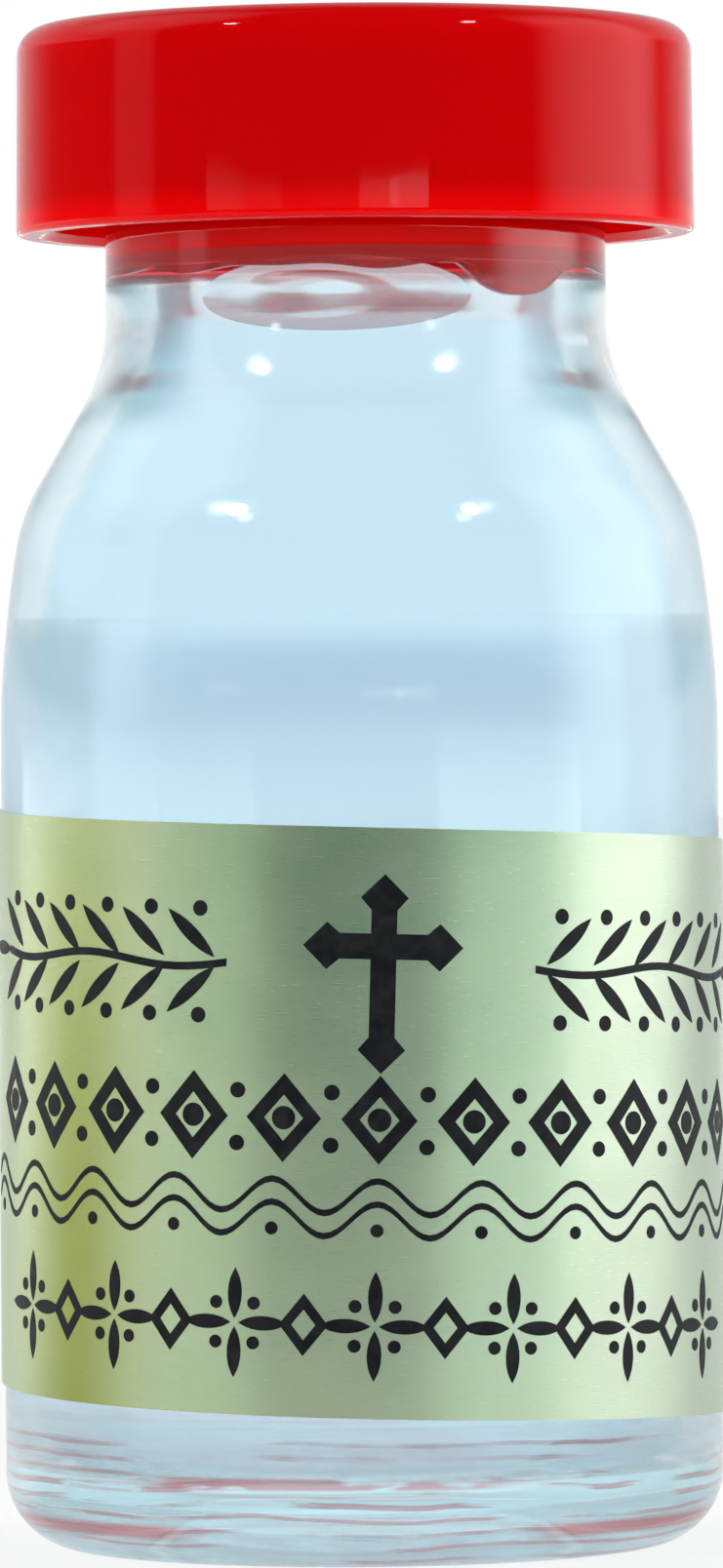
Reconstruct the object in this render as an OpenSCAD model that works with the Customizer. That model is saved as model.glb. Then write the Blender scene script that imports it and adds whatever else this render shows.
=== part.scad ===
// Glass vial of holy water: a round vial with a flanged neck, its water, a push-in plug cap and
// a foil label wrapped round the body. Millimetres, +Z up, the front of the label faces -Y, and
// the origin is the centre of the ring that the vial stands on.

/* [Body] */
// Outer diameter of the body
body_d = 22.5; // [20:0.1:26]
// Height of the glass, from the standing ring to the lip
vial_h = 46; // [42:0.5:70]
// Thickness of the glass in the side and the shoulder
side_wall = 1.1; // [0.8:0.05:1.4]

/* [Base] */
// Thickness of the glass in the base
base_t = 2.4; // [1.5:0.1:4]
// Radius of the heel, where the side turns under
heel_r = 2.4; // [1.5:0.1:3.5]
// Radius of the corner inside, between the side and the base
inside_heel_r = 2; // [1:0.1:3]
// Width of the flat ring that the vial stands on
ring_w = 1.8; // [1:0.1:3]
// Rise of the hollow under the base
push_up = 0.7; // [0.3:0.1:1.2]

/* [Shoulder] */
// Slope of the shoulder, in degrees from the vertical
shoulder_slope = 30; // [24:1:42]
// Radius of the bend between the shoulder and the crown
shoulder_r = 5; // [3:0.5:7]
// Lean of the crown, the long round that draws the side in, in degrees
crown_lean = 11; // [8:0.5:14]
// How far the crown draws the side in
crown_inset = 0.75; // [0.6:0.05:1]
// Radius of the hollow bend between the neck and the shoulder
neck_bend_r = 5; // [2:0.5:6]

/* [Neck] */
// Outer diameter of the neck
neck_d = 15.7; // [14.8:0.1:16.4]
// Bore of the neck
bore_d = 12.6; // [11.6:0.1:13]
// Height from the shoulder's slope to the lip
neck_h = 9; // [8:0.5:14]
// Outer diameter of the flange at the lip
flange_d = 19; // [18.2:0.1:20]
// Thickness of the flange at its edge
flange_t = 3.4; // [2.4:0.1:3.8]
// Drop of the flange's underside from its edge to the neck
flange_drop = 0.6; // [0.3:0.1:1]
// Radius of the lip's two edges
lip_r = 0.6; // [0.3:0.1:0.9]

/* [Cap] */
// Height of the cap, from the skirt's rim to the top
cap_h = 6.55; // [5.5:0.05:7.2]
// Thickness of the cap's top
cap_top = 1.6; // [1:0.1:2.4]
// Thickness of the skirt at the rim
skirt_wall = 1; // [0.7:0.05:1.6]
// How much smaller the skirt's radius is at the top, for the mould
cap_draft = 0.07; // [0:0.01:0.2]
// Radius of the edge round the top
cap_edge_r = 0.9; // [0.4:0.1:1.3]
// Width of the chamfer that guides the flange into the skirt
skirt_lead = 0.25; // [0.1:0.05:0.4]
// Length of the plug, from the lip down
plug_len = 6; // [5:0.5:7.5]
// Thickness of the plug's wall
plug_wall = 1; // [0.7:0.05:1.5]
// How far the sealing ribs stand out of the plug
rib_h = 0.2; // [0.1:0.05:0.4]
// Width of a sealing rib at its foot
rib_w = 0.9; // [0.5:0.1:1.2]
// Number of sealing ribs
rib_count = 2; // [1:1:3]
// Taper at the end of the plug that guides it into the bore
plug_lead = 0.5; // [0.3:0.1:0.6]
// Diameter of the dimple that the moulding gate leaves in the top
gate_d = 3; // [2:0.5:4]
// Depth of that dimple
gate_t = 0.2; // [0.1:0.05:0.4]

/* [Label] */
// Length of the label before it is wrapped
label_len = 46; // [38:1:56]
// Height of the label
label_h = 17.9; // [14:0.1:20]
// Thickness of the foil
label_t = 0.1; // [0.06:0.02:0.2]
// Radius of the label's corners
label_corner_r = 1.2; // [0.5:0.1:3]
// Lean of the label, in degrees, with its left end high
label_skew = 1.8; // [0:0.1:3]
// How far the label sits below the middle of the straight side
label_drop = 0.3; // [0:0.1:1]

/* [Water] */
// Height of the air, from the water to the lip
headspace = 17; // [13:0.5:24]
// Height that the water climbs at the glass
meniscus = 1.1; // [0.5:0.1:2]

/* [Fits] */
// Gap between the skirt and the flange
skirt_clear = 0.15; // [0.1:0.05:0.3]
// Gap between the plug's ribs and the bore
plug_clear = 0.05; // [0.03:0.01:0.1]
// Gap between the cap's ceiling and the lip
seat_clear = 0.05; // [0.03:0.01:0.1]
// Gap that the glue fills behind the label
glue_t = 0.02; // [0.02:0.01:0.05]
// Gap between the water and the glass
water_clear = 0.02; // [0.01:0.01:0.05]

/* [Hidden] */
// Turn of one step of a rounded corner, in degrees
corner_step = 5;
// Number of steps round the label
label_steps = 96;
$fn = 128;

// Radii
body_r = body_d / 2;
neck_r = neck_d / 2;
bore_r = bore_d / 2;
flange_r = flange_d / 2;
skirt_in_r = flange_r + skirt_clear;
cap_r = skirt_in_r + skirt_wall;
rib_r = bore_r - plug_clear;
plug_r = rib_r - rib_h;
plug_in_r = plug_r - plug_wall;
label_r = body_r + glue_t;
ring_r = body_r - heel_r - ring_w;

// The slope that leads from the standing ring up into the hollow under the base
push_up_run = 2 * push_up;

// Corners of the outside, where its straight stretches would meet
neck_corner = [neck_r, vial_h - neck_h];
crown_r_top = body_r - crown_inset;
shoulder_corner = [crown_r_top, neck_corner.y - (crown_r_top - neck_r) / tan(shoulder_slope)];
side_corner = [body_r, shoulder_corner.y - crown_inset / tan(crown_lean)];
heel_corner = [body_r, 0];

// The crown's round fills what the shoulder's bend leaves of the leaning stretch
bend_reach = shoulder_r * tan((shoulder_slope - crown_lean) / 2);
crown_reach = crown_inset / sin(crown_lean) - bend_reach;
crown_r = crown_reach / tan(crown_lean / 2);

// Heights
flange_z = vial_h - flange_t;
straight_top = side_corner.y - crown_reach;
label_z = (heel_r + straight_top) / 2 - label_drop;
seat_z = vial_h + seat_clear;
cap_top_z = seat_z + cap_top;
rim_z = cap_top_z - cap_h;
plug_end_z = seat_z - plug_len;
water_z = vial_h - headspace;

// Small rounds at edges
edge_r = 0.2;
fillet_r = 0.4;

function unit(v) = v / norm(v);
function flat(p) = [p[0], p[1]];
function left_of(a, b) = unit([a.y - b.y, b.x - a.x]);
function wrapped(angle) = angle > 180 ? angle - 360 : angle < -180 ? angle + 360 : angle;

// Corner b of the path a, b, c, moved by gap to the left of the path
function moved_corner(a, b, c, gap) =
    let (n = left_of(a, b), m = left_of(b, c))
    b + gap * (n + m) / (1 + n * m);

// Points of the arc of a radius that rounds corner b between its neighbours a and c
function arc_at(a, b, c, radius) =
    let (
        u = unit(a - b),
        v = unit(c - b),
        half = acos(u * v) / 2,
        centre = b + unit(u + v) * radius / sin(half),
        from = b + u * radius / tan(half) - centre,
        to = b + v * radius / tan(half) - centre,
        start = atan2(from.y, from.x),
        turn = wrapped(atan2(to.y, to.x) - start),
        steps = max(2, ceil(abs(turn) / corner_step))
    )
    [for (i = [0:steps]) centre + radius * [cos(start + turn * i / steps), sin(start + turn * i / steps)]];

// Outline of a closed path of corners, each one [r, z, radius]
function outline(path) =
    let (n = len(path))
    [for (i = [0:n - 1])
        each path[i][2] == 0
            ? [flat(path[i])]
            : arc_at(flat(path[(i + n - 1) % n]), flat(path[i]), flat(path[(i + 1) % n]), path[i][2])];

// Corners of the inside, from the middle of the base up to the lip, for a wall and a base thickness
function cavity(wall, base) =
    let (
        floor_corner = [body_r - wall, base],
        side = moved_corner(heel_corner, side_corner, shoulder_corner, wall),
        shoulder = moved_corner(side_corner, shoulder_corner, neck_corner, wall),
        throat_r = bore_r + side_wall - wall,
        throat_z = neck_corner.y + (neck_r - throat_r - wall / cos(shoulder_slope)) / tan(shoulder_slope)
    )
    [
        [0, base + push_up, 0],
        [floor_corner.x, floor_corner.y, inside_heel_r],
        [side.x, side.y, crown_r - wall],
        [shoulder.x, shoulder.y, shoulder_r - wall],
        [throat_r, throat_z, neck_bend_r + wall],
        [throat_r, vial_h, lip_r]
    ];

function reversed(list) = [for (i = [len(list) - 1:-1:0]) list[i]];

module glass_vial() {
    outside = [
        [0, push_up, 0],
        [ring_r - push_up_run, push_up, fillet_r],
        [ring_r, 0, edge_r],
        [heel_corner.x, heel_corner.y, heel_r],
        [side_corner.x, side_corner.y, crown_r],
        [shoulder_corner.x, shoulder_corner.y, shoulder_r],
        [neck_corner.x, neck_corner.y, neck_bend_r],
        [neck_r, flange_z - flange_drop, fillet_r],
        [flange_r, flange_z, fillet_r],
        [flange_r, vial_h, lip_r]
    ];
    color("lightcyan", 0.4)
    rotate_extrude()
        polygon(outline(concat(outside, reversed(cavity(side_wall, base_t)))));
}

// The water fills the inside up to its level, and its edge curves up at the glass
module water_fill() {
    inside = concat(cavity(side_wall + water_clear, base_t + water_clear), [[0, vial_h, 0]]);
    glass_r = body_r - side_wall;
    climb = [for (a = [0:2 * corner_step:90])
        [glass_r - meniscus * (1 - sin(a)), water_z + meniscus * (1 - cos(a))]];
    color("lightblue", 0.5)
    rotate_extrude()
        intersection() {
            polygon(outline(inside));
            polygon(concat([[0, 0], [body_r, 0], [body_r, water_z + meniscus]], reversed(climb), [[0, water_z]]));
        }
}

// The label is a flat sheet leaned by its skew, then wrapped round the body
module foil_label() {
    half_len = label_len / 2;
    // Half the sheet's height at a distance from its middle, with rounded corners at its ends
    function half_h(s) =
        let (past = max(0, abs(s) - half_len + label_corner_r))
        label_h / 2 - label_corner_r + sqrt(max(0, label_corner_r * label_corner_r - past * past));
    // Place of the sheet's point s along and t up, at a radius
    function on_body(s, t, r) =
        let (
            along = s * cos(label_skew) + t * sin(label_skew),
            up = t * cos(label_skew) - s * sin(label_skew),
            turn = along / label_r * 180 / PI
        )
        [r * sin(turn), -r * cos(turn), label_z + up];
    points = [for (i = [0:label_steps])
        let (s = label_len * (i / label_steps - 0.5), h = half_h(s))
        each [
            on_body(s, -h, label_r),
            on_body(s, -h, label_r + label_t),
            on_body(s, h, label_r + label_t),
            on_body(s, h, label_r)
        ]];
    last = 4 * label_steps;
    sides = [for (i = [0:label_steps - 1], k = [0:3])
        let (a = 4 * i + k, b = 4 * i + (k + 1) % 4)
        each [[a, a + 4, b], [b, a + 4, b + 4]]];
    ends = [[0, 1, 2], [0, 2, 3], [last, last + 2, last + 1], [last, last + 3, last + 2]];
    color("darkkhaki")
    polyhedron(points, concat(sides, ends));
}

// The cap: a top with a skirt that hides the flange and a hollow plug that seals the bore
module plug_cap() {
    rib_pitch = (plug_len - 2 * plug_lead) / (rib_count + 1);
    ribs = [for (i = [1:rib_count])
        let (z = seat_z - plug_lead - rib_pitch * i)
        each [
            [plug_r, z + rib_w / 2, 0],
            [rib_r, z + rib_w / 4, 0],
            [rib_r, z - rib_w / 4, 0],
            [plug_r, z - rib_w / 2, 0]
        ]];
    section = concat(
        [
            [0, cap_top_z - gate_t, 0],
            [gate_d / 2, cap_top_z - gate_t, 0],
            [gate_d / 2 + gate_t, cap_top_z, 0],
            [cap_r - cap_draft, cap_top_z, cap_edge_r],
            [cap_r, rim_z, edge_r],
            [skirt_in_r + skirt_lead, rim_z, 0],
            [skirt_in_r, rim_z + skirt_lead, 0],
            [skirt_in_r, seat_z, edge_r],
            [plug_r, seat_z, edge_r]
        ],
        ribs,
        [
            [plug_r, plug_end_z + plug_lead, 0],
            [plug_r - plug_lead, plug_end_z, 0],
            [plug_in_r, plug_end_z, 0],
            [plug_in_r, seat_z, fillet_r],
            [0, seat_z, 0]
        ]
    );
    color("red")
    rotate_extrude()
        polygon(outline(section));
}

glass_vial();
water_fill();
foil_label();
plug_cap();
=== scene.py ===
import math

import bmesh
import bpy
from mathutils import Matrix, Vector


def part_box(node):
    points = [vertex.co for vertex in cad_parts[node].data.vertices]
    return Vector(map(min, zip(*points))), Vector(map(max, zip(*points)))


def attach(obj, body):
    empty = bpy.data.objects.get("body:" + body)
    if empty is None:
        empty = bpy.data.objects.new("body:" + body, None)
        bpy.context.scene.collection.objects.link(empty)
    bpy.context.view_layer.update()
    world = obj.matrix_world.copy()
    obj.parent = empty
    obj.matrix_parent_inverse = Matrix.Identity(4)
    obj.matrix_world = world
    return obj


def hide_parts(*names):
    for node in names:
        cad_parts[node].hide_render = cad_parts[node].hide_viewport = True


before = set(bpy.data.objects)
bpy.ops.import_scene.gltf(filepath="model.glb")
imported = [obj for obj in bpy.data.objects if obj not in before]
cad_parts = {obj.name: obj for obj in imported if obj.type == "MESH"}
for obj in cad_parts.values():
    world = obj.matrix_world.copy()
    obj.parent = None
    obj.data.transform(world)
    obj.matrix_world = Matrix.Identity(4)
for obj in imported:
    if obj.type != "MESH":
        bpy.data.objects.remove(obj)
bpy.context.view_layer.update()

# Places from the frame, in metres
MM = 0.001
glass_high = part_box("glass_vial")[1]
cap_low, cap_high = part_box("plug_cap")
label_low, label_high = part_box("foil_label")

BODY_R = glass_high.x
LIP_Z = glass_high.z

# Glass
SIDE_WALL = 1.1 * MM
BASE_T = 2.4 * MM
HEEL_R = 2.4 * MM
INSIDE_HEEL_R = 2.0 * MM
RING_R = BODY_R - HEEL_R - 1.8 * MM
PUSH_UP = 0.7 * MM
SLOPE = math.radians(30)
SHOULDER_R = 5.0 * MM
CROWN_LEAN = math.radians(11)
CROWN_INSET = 0.75 * MM
NECK_R = 7.85 * MM
NECK_BEND_R = 5.0 * MM
NECK_Z = LIP_Z - 9.0 * MM
BORE_R = 6.3 * MM
FLANGE_R = 9.5 * MM
FLANGE_Z = LIP_Z - 3.4 * MM
FLANGE_DROP = 0.6 * MM
LIP_R = 0.6 * MM
STREAK_PITCH = 0.45 * MM

# Cap
CAP_R = cap_high.x
CAP_TOP_Z = cap_high.z
CAP_RIM_Z = CAP_TOP_Z - 6.55 * MM
CAP_SEAT_Z = LIP_Z + 0.05 * MM
CAP_EDGE_R = 0.9 * MM
CAP_DRAFT = 0.07 * MM
SKIRT_IN_R = FLANGE_R + 0.15 * MM
SKIRT_LEAD = 0.25 * MM
PLUG_END_Z = cap_low.z
PLUG_R = 6.05 * MM
PLUG_WALL = 1.0 * MM
PLUG_LEAD = 0.5 * MM
RIB_H = 0.2 * MM
RIB_W = 0.9 * MM
RIB_COUNT = 2
GATE_R = 1.5 * MM
GATE_T = 0.2 * MM

# Roundings that several corners share
FILLET_R = 0.4 * MM
EDGE_R = 0.2 * MM
TIP_R = 0.1 * MM
CRISP_R = 0.05 * MM

# Water
WATER_Z = LIP_Z - 17.0 * MM
WATER_LAP = 0.04 * MM

# Label
LABEL_LEN = 46.0 * MM
LABEL_H = 17.9 * MM
LABEL_T = 0.1 * MM
LABEL_R = BODY_R + 0.02 * MM
LABEL_Z = (label_low.z + label_high.z) / 2
LABEL_SKEW = math.radians(1.8)
LABEL_CORNER_R = 1.2 * MM
STRIP_W = 0.5 * MM
INK_T = 0.012 * MM
PRINT_S = 0.52 * MM

# Bending and mirroring of light
GLASS_IOR = 1.5
WATER_IOR = 1.333
PLASTIC_IOR = 1.5
FAINT_GLOSS = 0.15


# Building

# Steps round the axis, and the bend from which an edge is shaded sharp
TURN_STEPS = 144
SHARP = math.radians(35)
# Distance of a holding corner from the end of a straight stretch
HOLD = 0.06 * MM
# Longest step and greatest turn from one point of a rounded bend to the next
BEND_STEP = 0.2 * MM
BEND_TURN = math.radians(6)


def at_turn(r, turn, z):
    """The place at a distance from the axis and a turn round it from the middle of the front."""
    return (r * math.sin(turn), -r * math.cos(turn), z)


def corner_inset(before, corner, after, gap):
    """A corner of a (radius, height) path, moved by gap to the left of the path."""
    def left(a, b):
        along = (b - a).normalized()
        return Vector((-along.y, along.x))
    n, m = left(before, corner), left(corner, after)
    return corner + gap * (n + m) / (1 + n.dot(m))


def rounded_wire(corners):
    """A wire of (radius, height, bend) corners in the XZ plane, with its bends rounded."""
    bm = bmesh.new()
    wire = [bm.verts.new((r, 0, z)) for r, z, bend in corners]
    for low, high in zip(wire, wire[1:]):
        bm.edges.new((low, high))
    places = [v.co.copy() for v in wire]
    for i, (r, z, bend) in enumerate(corners):
        if bend > 0:
            half = (places[i - 1] - places[i]).angle(places[i + 1] - places[i]) / 2
            turn = math.pi - 2 * half
            steps = max(3, math.ceil(turn / BEND_TURN), math.ceil(bend * turn / BEND_STEP))
            bmesh.ops.bevel(bm, geom=[wire[i]], offset=bend / math.tan(half), offset_type="OFFSET",
                            segments=steps, profile=0.5, affect="VERTICES", material=-1)
    for edge in bm.edges[:]:
        hold_ends(edge)
    return bm


def hold_ends(edge):
    """Adds a corner close to each end of a long straight edge, so that smooth shading bends only there."""
    low, high = edge.verts
    length = edge.calc_length()
    if length > 4 * HOLD:
        held = bmesh.utils.edge_split(edge, low, HOLD / length)[1]
        rest = next(e for e in held.link_edges if high in e.verts)
        bmesh.utils.edge_split(rest, high, HOLD / (length - HOLD))


def turn_round(bm):
    """Spins a wire about the vial's axis into a closed skin."""
    bmesh.ops.spin(bm, geom=bm.verts[:] + bm.edges[:], cent=(0, 0, 0), axis=(0, 0, 1), dvec=(0, 0, 0),
                   angle=2 * math.pi, steps=TURN_STEPS, use_merge=True)
    bmesh.ops.remove_doubles(bm, verts=bm.verts[:], dist=1e-7)
    bmesh.ops.recalc_face_normals(bm, faces=bm.faces[:])


def make_piece(bm, name, body, finishes, node=None):
    """Makes a finished object of a bmesh, riding on a body and standing for a node."""
    for edge in bm.edges:
        edge.smooth = edge.calc_face_angle(0) < SHARP
    for face in bm.faces:
        face.smooth = True
    mesh = bpy.data.meshes.new(name)
    bm.to_mesh(mesh)
    bm.free()
    for finish in finishes:
        mesh.materials.append(finish)
    piece = bpy.data.objects.new(name, mesh)
    bpy.context.scene.collection.objects.link(piece)
    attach(piece, body)
    if node:
        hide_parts(node)


# Nodes of the finishes

def link(tree, out, into):
    tree.links.new(out, into)


def handling_marks_group():
    """Smudges and fine dust on a handled surface, as a mask, and a slow waviness as a height."""
    tree = bpy.data.node_groups.new("handling_marks", "ShaderNodeTree")
    tree.interface.new_socket("Smudge Scale", in_out="INPUT", socket_type="NodeSocketFloat")
    tree.interface.new_socket("Wave Scale", in_out="INPUT", socket_type="NodeSocketFloat")
    tree.interface.new_socket("Smudge", in_out="OUTPUT", socket_type="NodeSocketFloat")
    tree.interface.new_socket("Wave", in_out="OUTPUT", socket_type="NodeSocketFloat")
    nodes = tree.nodes
    given = nodes.new("NodeGroupInput")
    made = nodes.new("NodeGroupOutput")
    place = nodes.new("ShaderNodeTexCoord")
    smudge = nodes.new("ShaderNodeTexNoise")
    smudge.inputs["Detail"].default_value = 6
    smudge.inputs["Roughness"].default_value = 0.6
    smudge.inputs["Distortion"].default_value = 0.8
    spread = nodes.new("ShaderNodeMapRange")
    spread.inputs["From Min"].default_value = 0.42
    spread.inputs["From Max"].default_value = 0.72
    wave = nodes.new("ShaderNodeTexNoise")
    wave.inputs["Detail"].default_value = 1
    link(tree, place.outputs["Object"], smudge.inputs["Vector"])
    link(tree, place.outputs["Object"], wave.inputs["Vector"])
    link(tree, given.outputs["Smudge Scale"], smudge.inputs["Scale"])
    link(tree, given.outputs["Wave Scale"], wave.inputs["Scale"])
    link(tree, smudge.outputs["Fac"], spread.inputs["Value"])
    link(tree, spread.outputs["Result"], made.inputs["Smudge"])
    link(tree, wave.outputs["Fac"], made.inputs["Wave"])
    return tree


HANDLING = handling_marks_group()


def new_finish(name):
    finish = bpy.data.materials.new(name)
    finish.use_nodes = True
    tree = finish.node_tree
    return finish, tree, tree.nodes["Principled BSDF"]


def add_handling(tree, smudge_scale, wave_scale):
    """The smudges and the waviness of a handled surface, at its own scales."""
    marks = tree.nodes.new("ShaderNodeGroup")
    marks.node_tree = HANDLING
    marks.inputs["Smudge Scale"].default_value = smudge_scale
    marks.inputs["Wave Scale"].default_value = wave_scale
    return marks.outputs["Smudge"], marks.outputs["Wave"]


def mix_values(tree, mask, low, high):
    """A value that goes from low to high, each a number or a node's, as a mask goes from 0 to 1."""
    mixed = tree.nodes.new("ShaderNodeMix")
    for name, value in (("A", low), ("B", high)):
        if isinstance(value, float):
            mixed.inputs[name].default_value = value
        else:
            link(tree, value, mixed.inputs[name])
    link(tree, mask, mixed.inputs["Factor"])
    return mixed.outputs["Result"]


def blend(tree, mask, first, second):
    """A colour that goes from first to second, each plain or a node's, as a mask goes from 0 to 1."""
    mixed = tree.nodes.new("ShaderNodeMix")
    mixed.data_type = "RGBA"
    for name, colour in (("A", first), ("B", second)):
        if isinstance(colour, tuple):
            mixed.inputs[name].default_value = (*colour, 1)
        else:
            link(tree, colour, mixed.inputs[name])
    link(tree, mask, mixed.inputs["Factor"])
    return mixed.outputs["Result"]


def bump_from(tree, height, distance, under=None):
    """A bump from a height, on top of the normal of one under it."""
    bump = tree.nodes.new("ShaderNodeBump")
    bump.inputs["Distance"].default_value = distance
    link(tree, height, bump.inputs["Height"])
    if under:
        link(tree, under, bump.inputs["Normal"])
    return bump.outputs["Normal"]


def worked_out(tree, operation, *values):
    """What a Math node works out from values, each a number or a node's."""
    node = tree.nodes.new("ShaderNodeMath")
    node.operation = operation
    for i, value in enumerate(values):
        if isinstance(value, float):
            node.inputs[i].default_value = value
        else:
            link(tree, value, node.inputs[i])
    return node.outputs["Value"]


def times(tree, mask, *others):
    """The product of masks."""
    for other in others:
        mask = worked_out(tree, "MULTIPLY", mask, other)
    return mask


def stretched_noise(tree, place, stretch, detail):
    """Noise whose grain is one over the stretch along each axis, in metres or in lengths of the label."""
    mapping = tree.nodes.new("ShaderNodeMapping")
    mapping.inputs["Scale"].default_value = stretch
    noise = tree.nodes.new("ShaderNodeTexNoise")
    noise.inputs["Scale"].default_value = 1
    noise.inputs["Detail"].default_value = detail
    link(tree, place, mapping.inputs["Vector"])
    link(tree, mapping.outputs["Vector"], noise.inputs["Vector"])
    return noise.outputs["Fac"]


def step_mask(tree, value, low, high):
    """A mask that goes smoothly from 0, where a value is low, to 1, where it is high."""
    mask = tree.nodes.new("ShaderNodeMapRange")
    mask.interpolation_type = "SMOOTHSTEP"
    mask.inputs["From Min"].default_value = low
    mask.inputs["From Max"].default_value = high
    link(tree, value, mask.inputs["Value"])
    return mask.outputs["Result"]


def band_mask(tree, value, start, full, fading, end):
    """A mask that rises from start to full and falls from fading to end."""
    return times(tree, step_mask(tree, value, start, full), step_mask(tree, value, end, fading))


def split(tree, place):
    """The X, Y and Z of a place."""
    parts = tree.nodes.new("ShaderNodeSeparateXYZ")
    link(tree, place, parts.inputs["Vector"])
    return parts.outputs["X"], parts.outputs["Y"], parts.outputs["Z"]


def object_place(tree):
    """The place on the object."""
    return tree.nodes.new("ShaderNodeTexCoord").outputs["Object"]


def levelled(tree, place):
    """A place or direction without its height."""
    level = tree.nodes.new("ShaderNodeVectorMath")
    level.operation = "MULTIPLY"
    level.inputs[1].default_value = (1, 1, 0)
    link(tree, place, level.inputs[0])
    return level.outputs["Vector"]


def axis_distance(tree, place):
    """The distance from the vial's axis."""
    length = tree.nodes.new("ShaderNodeVectorMath")
    length.operation = "LENGTH"
    link(tree, levelled(tree, place), length.inputs[0])
    return length.outputs["Value"]


# Finishes

def painted_cap_reflections_in_base(tree, place):
    """Painted reflections of the red cap: broken level streaks in the thick base, a broad one in front and a
    strong one low at its sides.
    """
    x, y, z = split(tree, place)
    lines = tree.nodes.new("ShaderNodeTexWave")
    lines.bands_direction = "Z"
    lines.inputs["Scale"].default_value = math.pi / (10 * STREAK_PITCH)
    lines.inputs["Distortion"].default_value = 4
    lines.inputs["Detail"].default_value = 2
    lines.inputs["Detail Scale"].default_value = 0.25
    link(tree, place, lines.inputs["Vector"])
    line = step_mask(tree, lines.outputs["Fac"], 0.6, 0.95)
    broken = step_mask(tree, stretched_noise(tree, place, (160, 160, 900), 2), 0.44, 0.55)
    low = step_mask(tree, z, BASE_T + 1.75 * MM, BASE_T + 1.35 * MM)
    thin = times(tree, line, broken, low)

    at_foot = band_mask(tree, z, 0.75 * MM, 0.95 * MM, 1.2 * MM, 1.45 * MM)
    at_sides = step_mask(tree, worked_out(tree, "ABSOLUTE", x), 4.2 * MM, 6.4 * MM)
    strong = times(tree, at_foot, at_sides)

    at_inside = band_mask(tree, z, BASE_T, BASE_T + 0.15 * MM, BASE_T + 0.4 * MM, BASE_T + 0.55 * MM)
    left_of_middle = band_mask(tree, x, -7.2 * MM, -5.8 * MM, 3.2 * MM, 5.2 * MM)
    front = step_mask(tree, y, 0.0, -6 * MM)
    frayed = step_mask(tree, stretched_noise(tree, place, (400, 400, 2600), 3), 0.3, 0.46)
    broad = times(tree, at_inside, left_of_middle, front, frayed)
    return thin, broad, strong


def clear_glass():
    """Pale blue glass, deeper edge-on and in its thick base, with red streaks painted in its base as
    reflections of the cap, and clear at the lip.

    Lamp light passes it, so that the plug in the neck is lit.
    The wet bore round the plug hardly bends light.
    """
    finish, tree, shader = new_finish("clear_glass")
    smudge, wave = add_handling(tree, 260, 140)
    shader.inputs["Transmission Weight"].default_value = 1
    shader.inputs["IOR"].default_value = GLASS_IOR
    shader.inputs["Specular IOR Level"].default_value = FAINT_GLOSS
    place = object_place(tree)
    z = split(tree, place)[2]
    facing = tree.nodes.new("ShaderNodeLayerWeight").outputs["Facing"]
    edge_on = step_mask(tree, facing, 0.25, 0.8)
    rim = step_mask(tree, facing, 0.58, 0.85)
    neck_side = times(tree, step_mask(tree, z, NECK_Z - 2.2 * MM, NECK_Z - 0.8 * MM), edge_on)
    wall = step_mask(tree, z, BASE_T, BASE_T + 1.5 * MM)
    lip = step_mask(tree, z, FLANGE_Z - 4 * MM, FLANGE_Z - 2 * MM)
    thin, broad, strong = painted_cap_reflections_in_base(tree, place)

    tint = blend(tree, edge_on, (0.79, 0.93, 1.0), (0.80, 0.95, 1.0))
    tint = blend(tree, rim, tint, (0.58, 0.88, 1.0))
    tint = blend(tree, neck_side, tint, (0.04, 0.70, 1.0))
    tint = blend(tree, wall, (0.47, 0.86, 0.98), tint)
    tint = blend(tree, lip, tint, (0.97, 0.99, 1.0))
    # The red streaks in the base are painted reflections of the cap.
    tint = blend(tree, thin, tint, (0.36, 0.12, 0.17))
    tint = blend(tree, broad, tint, (0.33, 0.04, 0.07))
    tint = blend(tree, strong, tint, (0.42, 0.01, 0.02))
    link(tree, tint, shader.inputs["Base Color"])

    around_plug = step_mask(tree, z, PLUG_END_Z - 0.9 * MM, PLUG_END_Z - 0.3 * MM)
    wet_bore = step_mask(tree, axis_distance(tree, place), NECK_R - 0.3 * MM, BORE_R + 0.3 * MM)
    above_base = step_mask(tree, z, BASE_T + 1.4 * MM, BASE_T + 3.2 * MM)
    solid = mix_values(tree, neck_side, 1.0, 0.28)
    solid = mix_values(tree, around_plug, solid, mix_values(tree, wet_bore, 1.0, 0.02))
    solid = mix_values(tree, above_base, 0.68, solid)
    path = tree.nodes.new("ShaderNodeLightPath")
    link(tree, mix_values(tree, path.outputs["Is Shadow Ray"], solid, 0.04), shader.inputs["Alpha"])

    hazy = mix_values(tree, smudge, 0.06, 0.14)
    link(tree, mix_values(tree, lip, hazy, 0.03), shader.inputs["Roughness"])
    waved = bump_from(tree, wave, 0.015 * MM)
    link(tree, bump_from(tree, thin, 0.012 * MM, under=waved), shader.inputs["Normal"])
    return finish


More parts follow.
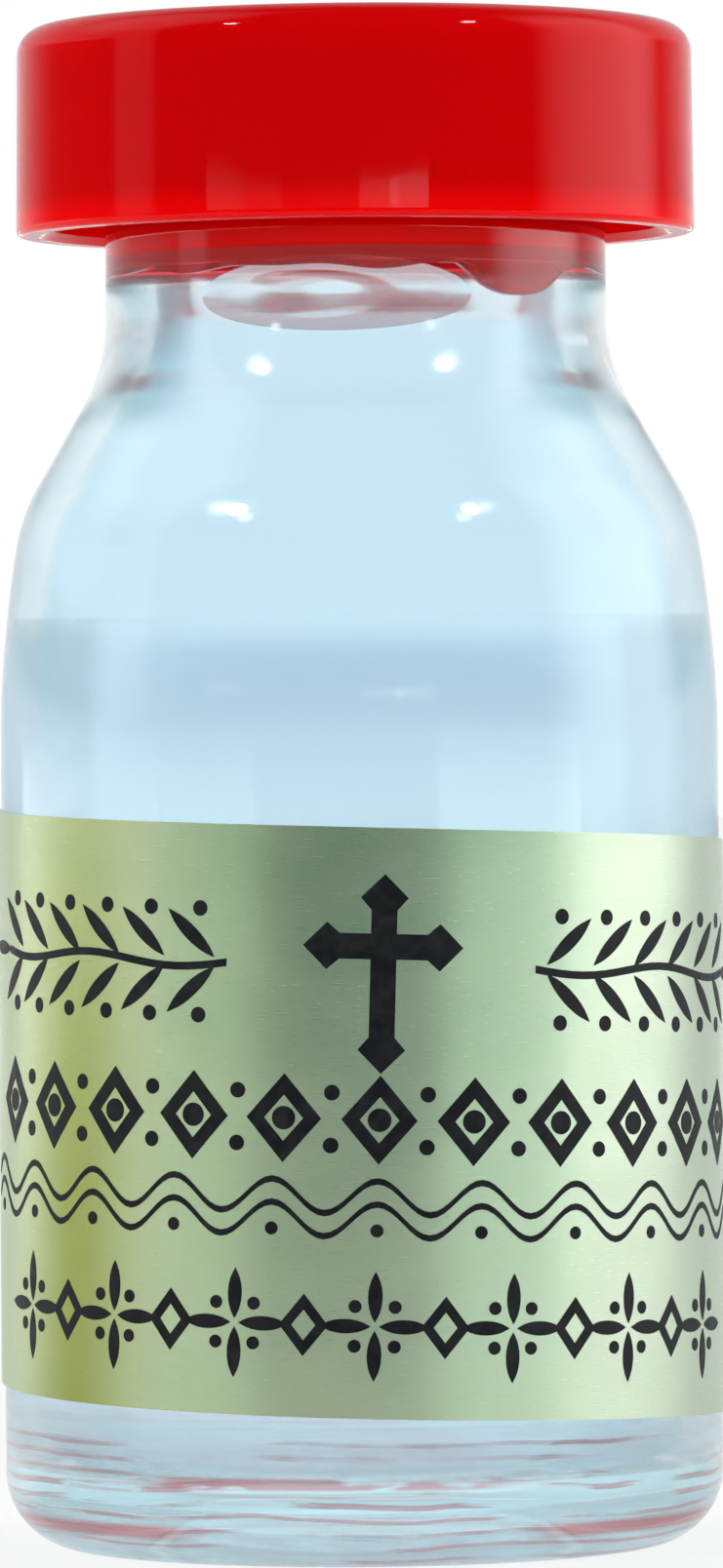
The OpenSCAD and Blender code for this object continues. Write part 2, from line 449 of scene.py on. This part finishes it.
def still_water():
    """Water that fades in at its level, with painted shade that deepens its tint just below the level,
    lighter further down, and painted light that lightens it edge-on.
    """
    finish, tree, shader = new_finish("still_water")
    smudge, wave = add_handling(tree, 200, 90)
    shader.inputs["Transmission Weight"].default_value = 1
    shader.inputs["IOR"].default_value = WATER_IOR
    place = object_place(tree)
    z = split(tree, place)[2]
    painted_shade_near_level = step_mask(tree, z, WATER_Z - 6.5 * MM, WATER_Z - 1.6 * MM)
    level = step_mask(tree, z, WATER_Z - 1.2 * MM, WATER_Z + 0.2 * MM)
    facing = tree.nodes.new("ShaderNodeLayerWeight").outputs["Facing"]
    edge_on = step_mask(tree, facing, 0.05, 0.18)
    # Painted shade: the tint is darkest just below the water's level.
    tint = blend(tree, painted_shade_near_level, (0.94, 0.95, 0.96), (0.66, 0.69, 0.76))
    # Painted light: the water's tint is lighter edge-on.
    tint = blend(tree, edge_on, tint, (0.97, 0.98, 0.99))
    link(tree, blend(tree, level, tint, (0.97, 0.98, 0.98)), shader.inputs["Base Color"])

    inside_r = BODY_R - SIDE_WALL
    off_wall = step_mask(tree, axis_distance(tree, place), inside_r - 0.9 * MM, inside_r - 1.5 * MM)
    solid = mix_values(tree, level, 0.7, mix_values(tree, off_wall, 0.12, 0.7))
    path = tree.nodes.new("ShaderNodeLightPath")
    link(tree, mix_values(tree, path.outputs["Is Shadow Ray"], solid, 0.1), shader.inputs["Alpha"])
    link(tree, mix_values(tree, smudge, 0.0, 0.02), shader.inputs["Roughness"])
    link(tree, bump_from(tree, wave, 0.02 * MM), shader.inputs["Normal"])
    return finish


def wetness(name, alpha, tint, other_tint):
    """Water in a thin film or a drop, with a little change of tint."""
    finish, tree, shader = new_finish(name)
    smudge, wave = add_handling(tree, 200, 400)
    shader.inputs["Transmission Weight"].default_value = 1
    shader.inputs["IOR"].default_value = WATER_IOR
    shader.inputs["Specular IOR Level"].default_value = FAINT_GLOSS
    shader.inputs["Alpha"].default_value = alpha
    link(tree, blend(tree, smudge, tint, other_tint), shader.inputs["Base Color"])
    link(tree, mix_values(tree, smudge, 0.0, 0.02), shader.inputs["Roughness"])
    link(tree, bump_from(tree, wave, 0.02 * MM), shader.inputs["Normal"])
    return finish


def red_plastic(name, depth, gloss, painted_light_red, thick_red):
    """Glossy red plastic, which lets light in by its share of depth, with painted light at its thin rim and
    inside, where its base red is lighter.
    """
    finish, tree, shader = new_finish(name)
    smudge, wave = add_handling(tree, 420, 160)
    shader.inputs["IOR"].default_value = PLASTIC_IOR
    shader.inputs["Specular IOR Level"].default_value = gloss
    shader.inputs["Subsurface Weight"].default_value = depth
    shader.inputs["Subsurface Radius"].default_value = (1.0, 0.15, 0.1)
    shader.inputs["Subsurface Scale"].default_value = 3.5 * MM
    place = object_place(tree)
    z = split(tree, place)[2]
    above_rim = step_mask(tree, z, CAP_RIM_Z, CAP_RIM_Z + 1.2 * MM)
    outside = step_mask(tree, axis_distance(tree, place), SKIRT_IN_R + 0.2 * MM, CAP_R - 0.25 * MM)
    top = step_mask(tree, z, CAP_SEAT_Z + 0.2 * MM, CAP_TOP_Z - 0.2 * MM)
    thick = times(tree, above_rim, worked_out(tree, "MAXIMUM", outside, top))
    # Painted light: the base red is lighter at the rim and inside than on the outer skirt and top.
    link(tree, blend(tree, thick, (painted_light_red, 0.0, 0.001), (thick_red, 0.0, 0.001)),
         shader.inputs["Base Color"])
    link(tree, mix_values(tree, smudge, 0.02, 0.05), shader.inputs["Roughness"])
    link(tree, bump_from(tree, wave, 0.006 * MM), shader.inputs["Normal"])
    return finish


def gold_foil():
    """Brushed foil with painted reflections: paler and bluer to its right, and a painted warm reflection of
    deeper gold on its left, strongest low down.
    """
    finish, tree, shader = new_finish("gold_foil")
    wave = add_handling(tree, 300, 260)[1]
    shader.inputs["Metallic"].default_value = 1
    flat = tree.nodes.new("ShaderNodeUVMap")
    flat.uv_map = "flat"
    sheet = flat.outputs["UV"]
    along, up = split(tree, sheet)[:2]
    # Painted reflection colour: the foil's tone is paler and bluer to the right.
    tone = blend(tree, step_mask(tree, along, 0.25, 0.75), (0.555, 0.628, 0.392), (0.555, 0.635, 0.488))
    # Painted reflection: a deeper gold on the left, strongest low down.
    warm_reflection_along, warm_reflection_reach = 0.284, 0.095
    away = worked_out(tree, "ABSOLUTE", worked_out(tree, "SUBTRACT", along, warm_reflection_along))
    painted_warm_reflection = step_mask(tree, away, warm_reflection_reach, 0.0)
    lower = mix_values(tree, step_mask(tree, up, 0.9, 0.4), 0.3, 1.0)
    tone = blend(tree, times(tree, painted_warm_reflection, lower), tone, (0.31, 0.345, 0.10))
    link(tree, tone, shader.inputs["Base Color"])
    brushed = stretched_noise(tree, sheet, (80, 1400, 1), 4)
    link(tree, mix_values(tree, brushed, 0.22, 0.38), shader.inputs["Roughness"])
    waved = bump_from(tree, wave, 0.05 * MM)
    link(tree, bump_from(tree, brushed, 0.003 * MM, under=waved), shader.inputs["Normal"])
    return finish


def label_paper():
    """The white back of the label, which shows through the vial from behind."""
    finish, tree, shader = new_finish("label_paper")
    smudge = add_handling(tree, 900, 500)[0]
    link(tree, blend(tree, smudge, (0.88, 0.87, 0.82), (0.81, 0.80, 0.74)), shader.inputs["Base Color"])
    link(tree, mix_values(tree, smudge, 0.55, 0.75), shader.inputs["Roughness"])
    return finish


def black_ink():
    finish, tree, shader = new_finish("black_ink")
    smudge = add_handling(tree, 1500, 800)[0]
    shader.inputs["Specular IOR Level"].default_value = FAINT_GLOSS
    tone = blend(tree, smudge, (0.004, 0.004, 0.006), (0.012, 0.013, 0.014))
    link(tree, tone, shader.inputs["Base Color"])
    link(tree, mix_values(tree, smudge, 0.42, 0.6), shader.inputs["Roughness"])
    return finish


# Vial

def vial_corners():
    """The glass's corners from the base up to the lip: those outside, and those inside for a wall."""
    heel = Vector((BODY_R, 0))
    throat = Vector((NECK_R, NECK_Z))
    shoulder_r = BODY_R - CROWN_INSET
    shoulder = Vector((shoulder_r, NECK_Z - (shoulder_r - NECK_R) / math.tan(SLOPE)))
    side = Vector((BODY_R, shoulder.y - CROWN_INSET / math.tan(CROWN_LEAN)))
    bend_reach = SHOULDER_R * math.tan((SLOPE - CROWN_LEAN) / 2)
    crown_r = (CROWN_INSET / math.sin(CROWN_LEAN) - bend_reach) / math.tan(CROWN_LEAN / 2)
    outside = [
        (0, PUSH_UP, 0),
        (RING_R - 2 * PUSH_UP, PUSH_UP, FILLET_R),
        (RING_R, 0, EDGE_R),
        (*heel, HEEL_R),
        (*side, crown_r),
        (*shoulder, SHOULDER_R),
        (*throat, NECK_BEND_R),
        (NECK_R, FLANGE_Z - FLANGE_DROP, FILLET_R),
        (FLANGE_R, FLANGE_Z, FILLET_R),
        (FLANGE_R, LIP_Z, LIP_R),
    ]

    def inside(wall):
        side_in = corner_inset(heel, side, shoulder, wall)
        shoulder_in = corner_inset(side, shoulder, throat, wall)
        bore_r = BORE_R + SIDE_WALL - wall
        throat_z = NECK_Z + (NECK_R - bore_r - wall / math.cos(SLOPE)) / math.tan(SLOPE)
        base = BASE_T - SIDE_WALL + wall
        return [
            (0, base + PUSH_UP, 0),
            (BODY_R - wall, base, INSIDE_HEEL_R),
            (*side_in, crown_r - wall),
            (*shoulder_in, SHOULDER_R - wall),
            (bore_r, throat_z, NECK_BEND_R + wall),
            (bore_r, LIP_Z, LIP_R),
        ]
    return outside, inside


def glass_vial():
    outside, inside = vial_corners()
    bm = rounded_wire(outside + inside(SIDE_WALL)[::-1])
    turn_round(bm)
    make_piece(bm, "glass_vial_skin", "vial", [clear_glass()], "glass_vial")


def water_fill():
    """The water laps a little into the glass, so that no film of air shows between them."""
    inside = vial_corners()[1]
    up_to_shoulder = inside(SIDE_WALL - WATER_LAP)[:4]
    bm = rounded_wire(up_to_shoulder + [(0, LIP_Z, 0)])
    bmesh.ops.bisect_plane(bm, geom=bm.verts[:] + bm.edges[:], plane_co=(0, 0, WATER_Z), plane_no=(0, 0, 1),
                           clear_outer=True)
    edge = max(bm.verts, key=lambda v: v.co.z)
    bm.edges.new((edge, bm.verts.new((0, 0, WATER_Z))))
    turn_round(bm)
    make_piece(bm, "water", "vial", [still_water()], "water_fill")


# Cap

def plug_cap():
    """The cap's top, skirt and hollow plug with its ribs, wet inside the neck."""
    ribs = []
    pitch = (CAP_SEAT_Z - PLUG_END_Z - 2 * PLUG_LEAD) / (RIB_COUNT + 1)
    for i in range(1, RIB_COUNT + 1):
        z = CAP_SEAT_Z - PLUG_LEAD - pitch * i
        ribs += [
            (PLUG_R, z + RIB_W / 2, CRISP_R),
            (PLUG_R + RIB_H, z + RIB_W / 4, CRISP_R),
            (PLUG_R + RIB_H, z - RIB_W / 4, CRISP_R),
            (PLUG_R, z - RIB_W / 2, CRISP_R),
        ]
    gate_edge_r = 0.06 * MM
    inside_edge_r = 0.08 * MM
    bm = rounded_wire([
        (0, CAP_TOP_Z - GATE_T, 0),
        (GATE_R, CAP_TOP_Z - GATE_T, gate_edge_r),
        (GATE_R + GATE_T, CAP_TOP_Z, gate_edge_r),
        (CAP_R - CAP_DRAFT, CAP_TOP_Z, CAP_EDGE_R),
        (CAP_R, CAP_RIM_Z, EDGE_R),
        (SKIRT_IN_R + SKIRT_LEAD, CAP_RIM_Z, inside_edge_r),
        (SKIRT_IN_R, CAP_RIM_Z + SKIRT_LEAD, CRISP_R),
        (SKIRT_IN_R, CAP_SEAT_Z, EDGE_R),
        (PLUG_R, CAP_SEAT_Z, EDGE_R),
        *ribs,
        (PLUG_R, PLUG_END_Z + PLUG_LEAD, TIP_R),
        (PLUG_R - PLUG_LEAD, PLUG_END_Z, TIP_R),
        (PLUG_R - PLUG_WALL, PLUG_END_Z, inside_edge_r),
        (PLUG_R - PLUG_WALL, CAP_SEAT_Z, FILLET_R),
        (0, CAP_SEAT_Z, 0),
    ])
    turn_round(bm)
    for face in bm.faces:
        middle = face.calc_center_median()
        if middle.xy.length < BORE_R and middle.z < CAP_SEAT_Z:
            face.material_index = 1
    # The plug's wet finish has a far lighter base red than the cap, as painted light under the skirt's
    # shade.
    dry = red_plastic("red_plastic", 1.0, 0.14, 0.82, 0.495)
    wet = red_plastic("wet_red_plastic", 0.0, 0.02, 1.0, 0.9)
    make_piece(bm, "cap", "cap", [dry, wet], "plug_cap")


def plug_film():
    """A film of water between the plug and the bore, with an uneven lower edge, tinted red as a painted
    reflection of the plug.
    """
    glass_r = BORE_R + WATER_LAP
    in_plug_r = PLUG_R - 0.35 * MM
    edge_z = PLUG_END_Z + 0.05 * MM
    top_z = PLUG_END_Z + 0.4 * MM
    reach = 1.0 * MM
    bm = rounded_wire([
        (in_plug_r, top_z, 0),
        (in_plug_r, edge_z - 0.3 * reach, 0.3 * MM),
        (glass_r - 0.25 * MM, edge_z - reach, 0.12 * MM),
        (glass_r, edge_z - reach, 0),
        (glass_r, top_z, 0),
    ])
    bm.edges.new(sorted(bm.verts, key=lambda v: v.co.z)[-2:])
    turn_round(bm)
    for v in bm.verts:
        if v.co.z < edge_z:
            v.co.z = edge_z - (edge_z - v.co.z) * film_hang(math.atan2(v.co.x, -v.co.y))
    # The film's red tint is a painted reflection of the plug; the water has no red of its own.
    film = wetness("wet_film", 0.9, (1.0, 0.02, 0.03), (1.0, 0.12, 0.14))
    make_piece(bm, "plug_film", "cap", [film])


def film_hang(turn):
    """The share of its reach that the film hangs, at a turn round the neck, with a lobe at the right."""
    lobe_turn, lobe_half_w = math.radians(46), math.radians(18)
    ripple = 0.28 + 0.07 * math.sin(7 * turn + 1) + 0.05 * math.sin(13 * turn)
    lobe = max(0, 1 - ((turn - lobe_turn) / lobe_half_w) ** 2)
    return ripple + 0.9 * lobe


def neck_drop():
    """A flat drop of water with ripples in it, on the bore in front and below the plug."""
    half_w, half_h, depth = 4.1 * MM, 1.2 * MM, 0.28 * MM
    left = 0.65 * MM
    middle_z = PLUG_END_Z - 1.1 * MM
    bm = bmesh.new()
    bmesh.ops.create_uvsphere(bm, u_segments=64, v_segments=40, radius=1)
    for v in bm.verts:
        out = min(1, math.hypot(v.co.x, v.co.y))
        ripple = 1 + 0.12 * math.cos(3 * math.pi * out + 3.5 * v.co.x)
        r = BORE_R + WATER_LAP - max(0, v.co.z) * depth * ripple
        v.co = at_turn(r, (v.co.x * half_w - left) / BORE_R, middle_z + v.co.y * half_h)
    bmesh.ops.remove_doubles(bm, verts=bm.verts[:], dist=1e-8)
    bmesh.ops.recalc_face_normals(bm, faces=bm.faces[:])
    drop = wetness("wet_drop", 0.45, (1.0, 1.0, 1.0), (0.97, 0.98, 0.98))
    make_piece(bm, "neck_drop", "vial", [drop])


# Label

def slice_for_wrap(bm):
    """Cuts a flat sheet into narrow strips across its length, so that it can follow the body."""
    low = min(v.co.x for v in bm.verts)
    high = max(v.co.x for v in bm.verts)
    for i in range(math.ceil(low / STRIP_W), math.floor(high / STRIP_W) + 1):
        sheet = bm.verts[:] + bm.edges[:] + bm.faces[:]
        bmesh.ops.bisect_plane(bm, geom=sheet, plane_co=(i * STRIP_W, 0, 0), plane_no=(1, 0, 0), dist=1e-9)


def wrap_round_body(bm):
    """Lays a flat sheet, X along and Y up with Z out of it, round the body with the label's lean."""
    for v in bm.verts:
        along = v.co.x * math.cos(LABEL_SKEW) + v.co.y * math.sin(LABEL_SKEW)
        up = v.co.y * math.cos(LABEL_SKEW) - v.co.x * math.sin(LABEL_SKEW)
        v.co = at_turn(LABEL_R + v.co.z, along / LABEL_R, LABEL_Z + up)


def thicken(bm, thickness):
    """Gives a flat sheet a thickness upwards."""
    raised = bmesh.ops.extrude_face_region(bm, geom=bm.faces[:], use_keep_orig=True)["geom"]
    corners = [g for g in raised if isinstance(g, bmesh.types.BMVert)]
    bmesh.ops.translate(bm, vec=(0, 0, thickness), verts=corners)
    bmesh.ops.recalc_face_normals(bm, faces=bm.faces[:])


def foil_label():
    """The foil in front and paper behind, with its flat shape kept as a UV map."""
    bm = bmesh.new()
    bmesh.ops.create_grid(bm, x_segments=1, y_segments=1, size=0.5)
    bmesh.ops.scale(bm, vec=(LABEL_LEN, LABEL_H, 1), verts=bm.verts[:])
    bmesh.ops.bevel(bm, geom=bm.verts[:], offset=LABEL_CORNER_R, offset_type="OFFSET", segments=8,
                    profile=0.5, affect="VERTICES", material=-1)
    slice_for_wrap(bm)
    thicken(bm, LABEL_T)
    flat = bm.loops.layers.uv.new("flat")
    for face in bm.faces:
        face.material_index = 1 if face.normal.z < -0.5 else 0
        for loop in face.loops:
            loop[flat].uv = (loop.vert.co.x / LABEL_LEN + 0.5, loop.vert.co.y / LABEL_LEN + 0.5)
    wrap_round_body(bm)
    finishes = [gold_foil(), label_paper()]
    make_piece(bm, "foil_label_sheet", "vial", finishes, "foil_label")


# Print

def cross_stamp():
    """A cross with pointed ends, upright on its long foot."""
    bar = 0.39 * MM
    end = 0.72 * MM
    tip = 0.72 * MM
    neck = 1.1 * MM
    reaches = (2.43 * MM, 2.2 * MM, 2.43 * MM, 3.85 * MM)
    outline = []
    for quarter, reach in enumerate(reaches):
        turn = Matrix.Rotation(quarter * math.pi / 2, 2)
        for along, across in ((bar, -bar), (reach - neck, -bar), (reach - tip, -end), (reach, 0),
                              (reach - tip, end), (reach - neck, bar)):
            outline.append(turn @ Vector((along, across)))
    stamp = bmesh.new()
    stamp.faces.new([stamp.verts.new((*p, 0)) for p in outline])
    return stamp


def leaf_stamp(length, width):
    """A pointed leaf along X, with its stalk end at the origin."""
    widest, rounding = 0.48 * length, 0.46 * length
    stamp = bmesh.new()
    tips = [stamp.verts.new((x, 0, 0)) for x in (0, length)]
    sides = [stamp.verts.new((widest, y, 0)) for y in (-width, width)]
    stamp.faces.new((tips[0], sides[0], tips[1], sides[1]))
    bmesh.ops.bevel(stamp, geom=sides, offset=rounding, offset_type="OFFSET", segments=8, profile=0.5,
                    affect="VERTICES", material=-1)
    return stamp


def dot_stamp(radius):
    stamp = bmesh.new()
    bmesh.ops.create_circle(stamp, cap_ends=True, segments=20, radius=radius)
    return stamp


def lozenge_stamp(width, height, band):
    """An open lozenge with an even band."""
    stamp = bmesh.new()
    corners = ((width / 2, 0), (0, height / 2), (-width / 2, 0), (0, -height / 2))
    face = stamp.faces.new([stamp.verts.new((*p, 0)) for p in corners])
    stamp.normal_update()
    bmesh.ops.inset_individual(stamp, faces=[face], thickness=band, use_even_offset=True)
    bmesh.ops.delete(stamp, geom=[face], context="FACES_ONLY")
    return stamp


def wave_stamp(length, pitch, rise, band):
    """A ribbon that waves along X about the origin."""
    steps_a_wave = 16
    stamp = bmesh.new()
    bmesh.ops.create_grid(stamp, x_segments=round(length / pitch * steps_a_wave), y_segments=1, size=0.5)
    bmesh.ops.scale(stamp, vec=(length, band, 1), verts=stamp.verts[:])
    for v in stamp.verts:
        v.co.y += rise * math.cos(2 * math.pi * v.co.x / pitch)
    return stamp


def press(bm, stamp, s, t, turn=0.0):
    """Adds a stamp's shape to a print, s along it from its middle and t up it from the label's."""
    shape = stamp.copy()
    lay = Matrix.Translation((PRINT_S + s, t, 0)) @ Matrix.Rotation(turn, 4, "Z")
    bmesh.ops.transform(shape, matrix=lay, verts=shape.verts[:])
    sheet = bpy.data.meshes.new("stamp")
    shape.to_mesh(sheet)
    shape.free()
    bm.from_mesh(sheet)
    bpy.data.meshes.remove(sheet)


def press_sprigs(bm, t):
    """A sprig of leaves and berries at each side of the cross."""
    leaf = leaf_stamp(2.15 * MM, 0.44 * MM)
    stem = wave_stamp(10.2 * MM, 6.8 * MM, 0.16 * MM, 0.24 * MM)
    berry = dot_stamp(0.24 * MM)
    leaf_lean = math.radians(42)
    for hand in (-1, 1):
        outward = 0 if hand > 0 else math.pi
        press(bm, stem, hand * 9.9 * MM, t)
        for i in range(6):
            s = hand * (5.2 + 1.72 * i) * MM
            for up in (-1, 1):
                press(bm, leaf, s, t + up * 0.14 * MM, outward + hand * up * leaf_lean)
                press(bm, berry, s + hand * 0.5 * MM, t + up * 1.62 * MM)
        press(bm, leaf, hand * 15.0 * MM, t, outward)


def press_lozenges(bm, t):
    """A row of lozenges round beads, with two berries in each gap."""
    pitch, each_side = 2.9 * MM, 5
    lozenge = lozenge_stamp(2.3 * MM, 2.7 * MM, 0.42 * MM)
    bead = dot_stamp(0.36 * MM)
    berry = dot_stamp(0.24 * MM)
    for i in range(-each_side, each_side + 1):
        press(bm, lozenge, i * pitch, t)
        press(bm, bead, i * pitch, t)
        if i < each_side:
            for up in (-1, 1):
                press(bm, berry, (i + 0.5) * pitch, t + up * 0.8 * MM)


def press_waves(bm, t):
    """Two wavy lines, with a dot under each crest."""
    pitch, each_side = 3.2 * MM, 5
    wave = wave_stamp((2 * each_side + 0.5) * pitch, pitch, 0.5 * MM, 0.2 * MM)
    dot = dot_stamp(0.2 * MM)
    press(bm, wave, 0, t)
    press(bm, wave, 0, t - 0.7 * MM)
    for i in range(-each_side, each_side + 1):
        press(bm, dot, i * pitch, t - 1.0 * MM)


def press_rosettes(bm, t):
    """A row of rosettes of four petals and four dots, with a small lozenge in each gap."""
    pitch, each_side = 4.3 * MM, 3
    petal = leaf_stamp(1.55 * MM, 0.42 * MM)
    dot = dot_stamp(0.2 * MM)
    lozenge = lozenge_stamp(1.5 * MM, 1.9 * MM, 0.3 * MM)
    petal_out, dot_out = 0.12 * MM, 0.85 * MM
    for i in range(-each_side, each_side + 1):
        s = i * pitch
        for quarter in range(4):
            turn = quarter * math.pi / 2
            between = turn + math.pi / 4
            press(bm, petal, s + petal_out * math.cos(turn), t + petal_out * math.sin(turn), turn)
            press(bm, dot, s + dot_out * math.cos(between), t + dot_out * math.sin(between))
        if i < each_side:
            press(bm, lozenge, s + pitch / 2, t)


def label_print():
    """The cross, with leaf sprigs beside it and rows of lozenges, waves and rosettes below."""
    bm = bmesh.new()
    press(bm, cross_stamp(), 0, 5.35 * MM)
    press_sprigs(bm, 4.75 * MM)
    press_lozenges(bm, 0.1 * MM)
    press_waves(bm, -2.25 * MM)
    press_rosettes(bm, -6.15 * MM)
    slice_for_wrap(bm)
    bmesh.ops.translate(bm, vec=(0, 0, LABEL_T), verts=bm.verts[:])
    thicken(bm, INK_T)
    wrap_round_body(bm)
    make_piece(bm, "label_print", "vial", [black_ink()])


# Stage

def pale_floor():
    """A matt floor that looks near white itself, keeps the shadow and shows a little in gloss."""
    seen_white, mirrored_white = 0.8, 0.2
    half_size, front_y, drop = 2.0, -0.2, 0.02 * MM
    finish = bpy.data.materials.new("pale_floor")
    finish.use_nodes = True
    tree = finish.node_tree
    tree.nodes.clear()
    out = tree.nodes.new("ShaderNodeOutputMaterial")
    matt = tree.nodes.new("ShaderNodeBsdfDiffuse")
    matt.inputs["Color"].default_value = (0.86, 0.86, 0.86, 1)
    white = tree.nodes.new("ShaderNodeEmission")
    path = tree.nodes.new("ShaderNodeLightPath")
    seen = worked_out(tree, "MAXIMUM", path.outputs["Is Camera Ray"], path.outputs["Is Transmission Ray"])
    share = worked_out(tree, "MAXIMUM", worked_out(tree, "MULTIPLY", seen, seen_white),
                       worked_out(tree, "MULTIPLY", path.outputs["Is Glossy Ray"], mirrored_white))
    mixed = tree.nodes.new("ShaderNodeMixShader")
    link(tree, share, mixed.inputs["Fac"])
    link(tree, matt.outputs["BSDF"], mixed.inputs[1])
    link(tree, white.outputs["Emission"], mixed.inputs[2])
    link(tree, mixed.outputs["Shader"], out.inputs["Surface"])
    bm = bmesh.new()
    bmesh.ops.create_grid(bm, x_segments=1, y_segments=1, size=half_size)
    bmesh.ops.translate(bm, vec=(0, half_size + front_y, -drop), verts=bm.verts[:])
    mesh = bpy.data.meshes.new("floor")
    bm.to_mesh(mesh)
    bm.free()
    mesh.materials.append(finish)
    floor = bpy.data.objects.new("floor", mesh)
    bpy.context.scene.collection.objects.link(floor)


def share_towards(tree, place, towards, low, high):
    """A mask for directions near another, from the low to the high cosine of the angle between them."""
    near = tree.nodes.new("ShaderNodeVectorMath")
    near.operation = "DOT_PRODUCT"
    near.inputs[1].default_value = Vector(towards).normalized()
    link(tree, place, near.inputs[0])
    return step_mask(tree, near.outputs["Value"], low, high)


def level_share(tree, place, towards, low, high):
    """A mask for directions near a level one, whatever their height."""
    length_one = tree.nodes.new("ShaderNodeVectorMath")
    length_one.operation = "NORMALIZE"
    link(tree, levelled(tree, place), length_one.inputs[0])
    return share_towards(tree, length_one.outputs["Vector"], towards, low, high)


def room_light(tree):
    """A room dark in front and bright behind, with a tall window at the right and a high one at the left."""
    back = (0, 1, 0)
    place = tree.nodes.new("ShaderNodeTexCoord").outputs["Generated"]
    rise = split(tree, place)[2]
    behind = share_towards(tree, place, (0.0, 0.9, 0.35), 0.5, 1.0)
    light = blend(tree, behind, (0.015, 0.105, 0.095), (0.95, 0.98, 1.0))
    skyline = times(tree, level_share(tree, place, back, -0.2, 0.35), step_mask(tree, rise, 0.065, 0.03))
    light = blend(tree, skyline, light, (0.95, 0.98, 1.0))
    upper = times(tree, level_share(tree, place, back, -0.35, 0.2),
                  band_mask(tree, rise, 0.12, 0.17, 0.5, 0.75))
    light = blend(tree, upper, light, (0.7, 0.72, 0.74))
    strip = times(tree, level_share(tree, place, (-0.985, -0.17, 0), 0.982, 0.998),
                  step_mask(tree, rise, 0.02, 0.06))
    light = blend(tree, strip, light, (0.75, 0.75, 0.78))
    tall = times(tree, level_share(tree, place, (1.0, 0.09, 0), 0.83, 1.0), step_mask(tree, rise, 0.9, 0.6))
    light = blend(tree, tall, light, (2.55, 2.6, 2.65))
    high = share_towards(tree, place, (-0.67, 0.07, 0.72), 0.86, 0.98)
    return blend(tree, high, light, (1.5, 1.5, 1.5))


def studio_world():
    """The room's light on the object, and white where it is seen itself or through glass."""
    world = bpy.data.worlds.new("studio")
    bpy.context.scene.world = world
    world.use_nodes = True
    tree = world.node_tree
    tree.nodes.clear()
    out = tree.nodes.new("ShaderNodeOutputWorld")
    room = tree.nodes.new("ShaderNodeBackground")
    link(tree, room_light(tree), room.inputs["Color"])
    white = tree.nodes.new("ShaderNodeBackground")
    white.inputs["Color"].default_value = (1, 1, 1, 1)
    path = tree.nodes.new("ShaderNodeLightPath")
    seen = worked_out(tree, "MAXIMUM", path.outputs["Is Camera Ray"], path.outputs["Is Transmission Ray"])
    mixed = tree.nodes.new("ShaderNodeMixShader")
    link(tree, seen, mixed.inputs["Fac"])
    link(tree, room.outputs["Background"], mixed.inputs[1])
    link(tree, white.outputs["Background"], mixed.inputs[2])
    link(tree, mixed.outputs["Shader"], out.inputs["Surface"])


def soft_box(name, place, aim, width, height, watts, shape="RECTANGLE"):
    lamp = bpy.data.lights.new(name, "AREA")
    lamp.shape = shape
    lamp.size = width
    lamp.size_y = height
    lamp.energy = watts
    box = bpy.data.objects.new(name, lamp)
    box.location = place
    box.rotation_euler = (Vector(aim) - Vector(place)).to_track_quat("-Z", "Y").to_euler()
    bpy.context.scene.collection.objects.link(box)
    return box


def low_card(turn, width, watts, colour):
    """A low card at a turn from the middle of the front, which the label mirrors and the water doesn't."""
    reach, z, height = 0.35, 0.0125, 0.023
    card = soft_box("low_card", at_turn(reach, turn, z), (0, 0, z), width, height, watts)
    card.data.color = colour
    card.visible_transmission = False


def low_fill(turn, watts):
    """A low light at a turn from the middle of the front, which gets under the skirt and isn't mirrored."""
    reach, z, aim_z, width, height = 0.6, 0.06, 0.041, 0.5, 0.1
    fill = soft_box("low_fill", at_turn(reach, turn, z), (0, 0, aim_z), width, height, watts)
    fill.visible_glossy = False
    fill.visible_transmission = False


def front_card(turn, watts):
    """A card in front, at a turn from its middle, which shines on the foot of the cap's skirt."""
    reach, z, height = 0.5, 0.079, 0.006
    width = 2 * reach * math.tan(math.radians(6.5))
    card = soft_box("front_card", at_turn(reach, turn, z), (0, 0, z), width, height, watts)
    card.visible_transmission = False


def round_lamp(name, place, watts):
    """A small round lamp high in front, which sparkles on the shoulder."""
    aim_z, across = 0.03, 0.06
    soft_box(name, place, (0, 0, aim_z), across, across, watts, "ELLIPSE")


def photo_camera():
    """A long lens, level with the middle of the vial, tilted and rolled a little."""
    aside, distance, eye_z = 0.06 * MM, 27 * BODY_R, 24.6 * MM
    tilt, roll = math.radians(-0.14), math.radians(-0.45)
    lens = bpy.data.cameras.new("camera")
    lens.sensor_fit = "VERTICAL"
    lens.sensor_height = 24
    lens.lens = 148
    lens.clip_start = 0.01
    camera = bpy.data.objects.new("camera", lens)
    camera.location = (aside, -distance, eye_z)
    aim = Matrix.Rotation(math.radians(90) + tilt, 3, "X") @ Matrix.Rotation(roll, 3, "Z")
    camera.rotation_euler = aim.to_euler()
    bpy.context.scene.collection.objects.link(camera)
    bpy.context.scene.camera = camera


glass_vial()
water_fill()
plug_cap()
plug_film()
neck_drop()
foil_label()
label_print()
pale_floor()
studio_world()
for turn, watts in ((-52, 1.75), (52, 1.81), (180, 1.8)):
    low_fill(math.radians(turn), watts)
low_card(math.radians(-101), 0.5, 0.062, (1.0, 1.0, 1.0))
low_card(math.radians(-49), 0.2, 0.021, (0.78, 1.0, 0.80))
low_card(math.radians(49), 0.32, 0.059, (0.80, 1.0, 0.90))
for turn, watts in ((-44, 0.003), (-31, 0.0015), (-18, 0.0004), (-5, 0.0006), (8, 0.0044), (18, 0.0066)):
    front_card(math.radians(turn), watts)
round_lamp("left_lamp", (-0.42, -0.39, 0.46), 1.1)
round_lamp("right_lamp", (0.40, -0.42, 0.46), 0.7)
photo_camera()
bpy.context.scene.view_settings.view_transform = "Standard"
